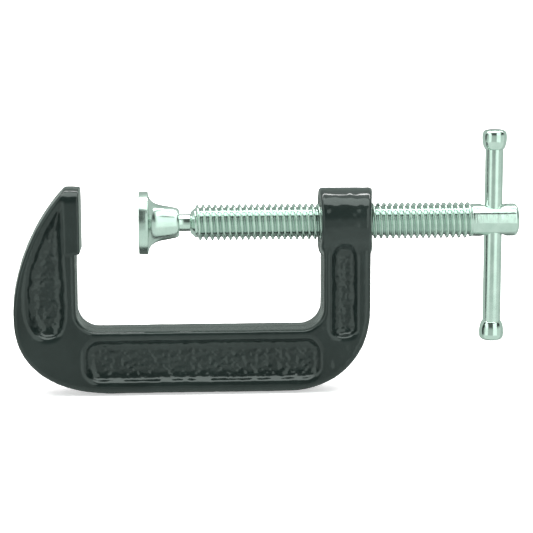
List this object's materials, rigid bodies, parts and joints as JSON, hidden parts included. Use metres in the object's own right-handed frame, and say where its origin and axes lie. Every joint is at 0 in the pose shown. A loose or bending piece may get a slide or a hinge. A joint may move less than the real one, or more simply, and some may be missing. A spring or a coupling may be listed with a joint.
{
  "type": "c clamp",
  "caption": "Cast C-shaped clamp with a threaded screw, a swivelling pressure pad and a sliding T handle.",
  "frame": {"origin": "middle of the anvil's face, on the screw's axis", "axes": "+X along the screw from the anvil towards the handle, +Z away from the spine, +Y towards the back of the pictured side"},
  "size_m": [0.1331, 0.0172, 0.0688],
  "materials": {
    "enamel": "glossy dark grey-green enamel on a casting",
    "plated_steel": "bright zinc plate"
  },
  "bodies": {
    "frame": {"frame_casting": "enamel"},
    "pad": {"swivel_pad": "plated_steel"},
    "screw": {"screw": "plated_steel"},
    "handle": {"handle_bar": "plated_steel", "handle_cap_upper": "plated_steel", "handle_cap_lower": "plated_steel"}
  },
  "joints": [
    {"name": "pad_travel", "type": "slide", "parent": "frame", "child": "pad", "axis": [1, 0, 0], "range_m": [-0.0151, 0.0362]},
    {"name": "screw_turn", "type": "hinge", "parent": "pad", "child": "screw", "pos_m": [0.0216, 0, 0], "axis": [1, 0, 0], "range_deg": [-3420, 8190]},
    {"name": "handle_slide", "type": "slide", "parent": "screw", "child": "handle", "axis": [0, 0, 1], "range_m": [-0.0142, 0.0226]}
  ],
  "couplings": [
    {"joint": "pad_travel", "follows": "screw_turn", "m_per_rad": 0.00025266}
  ]
}
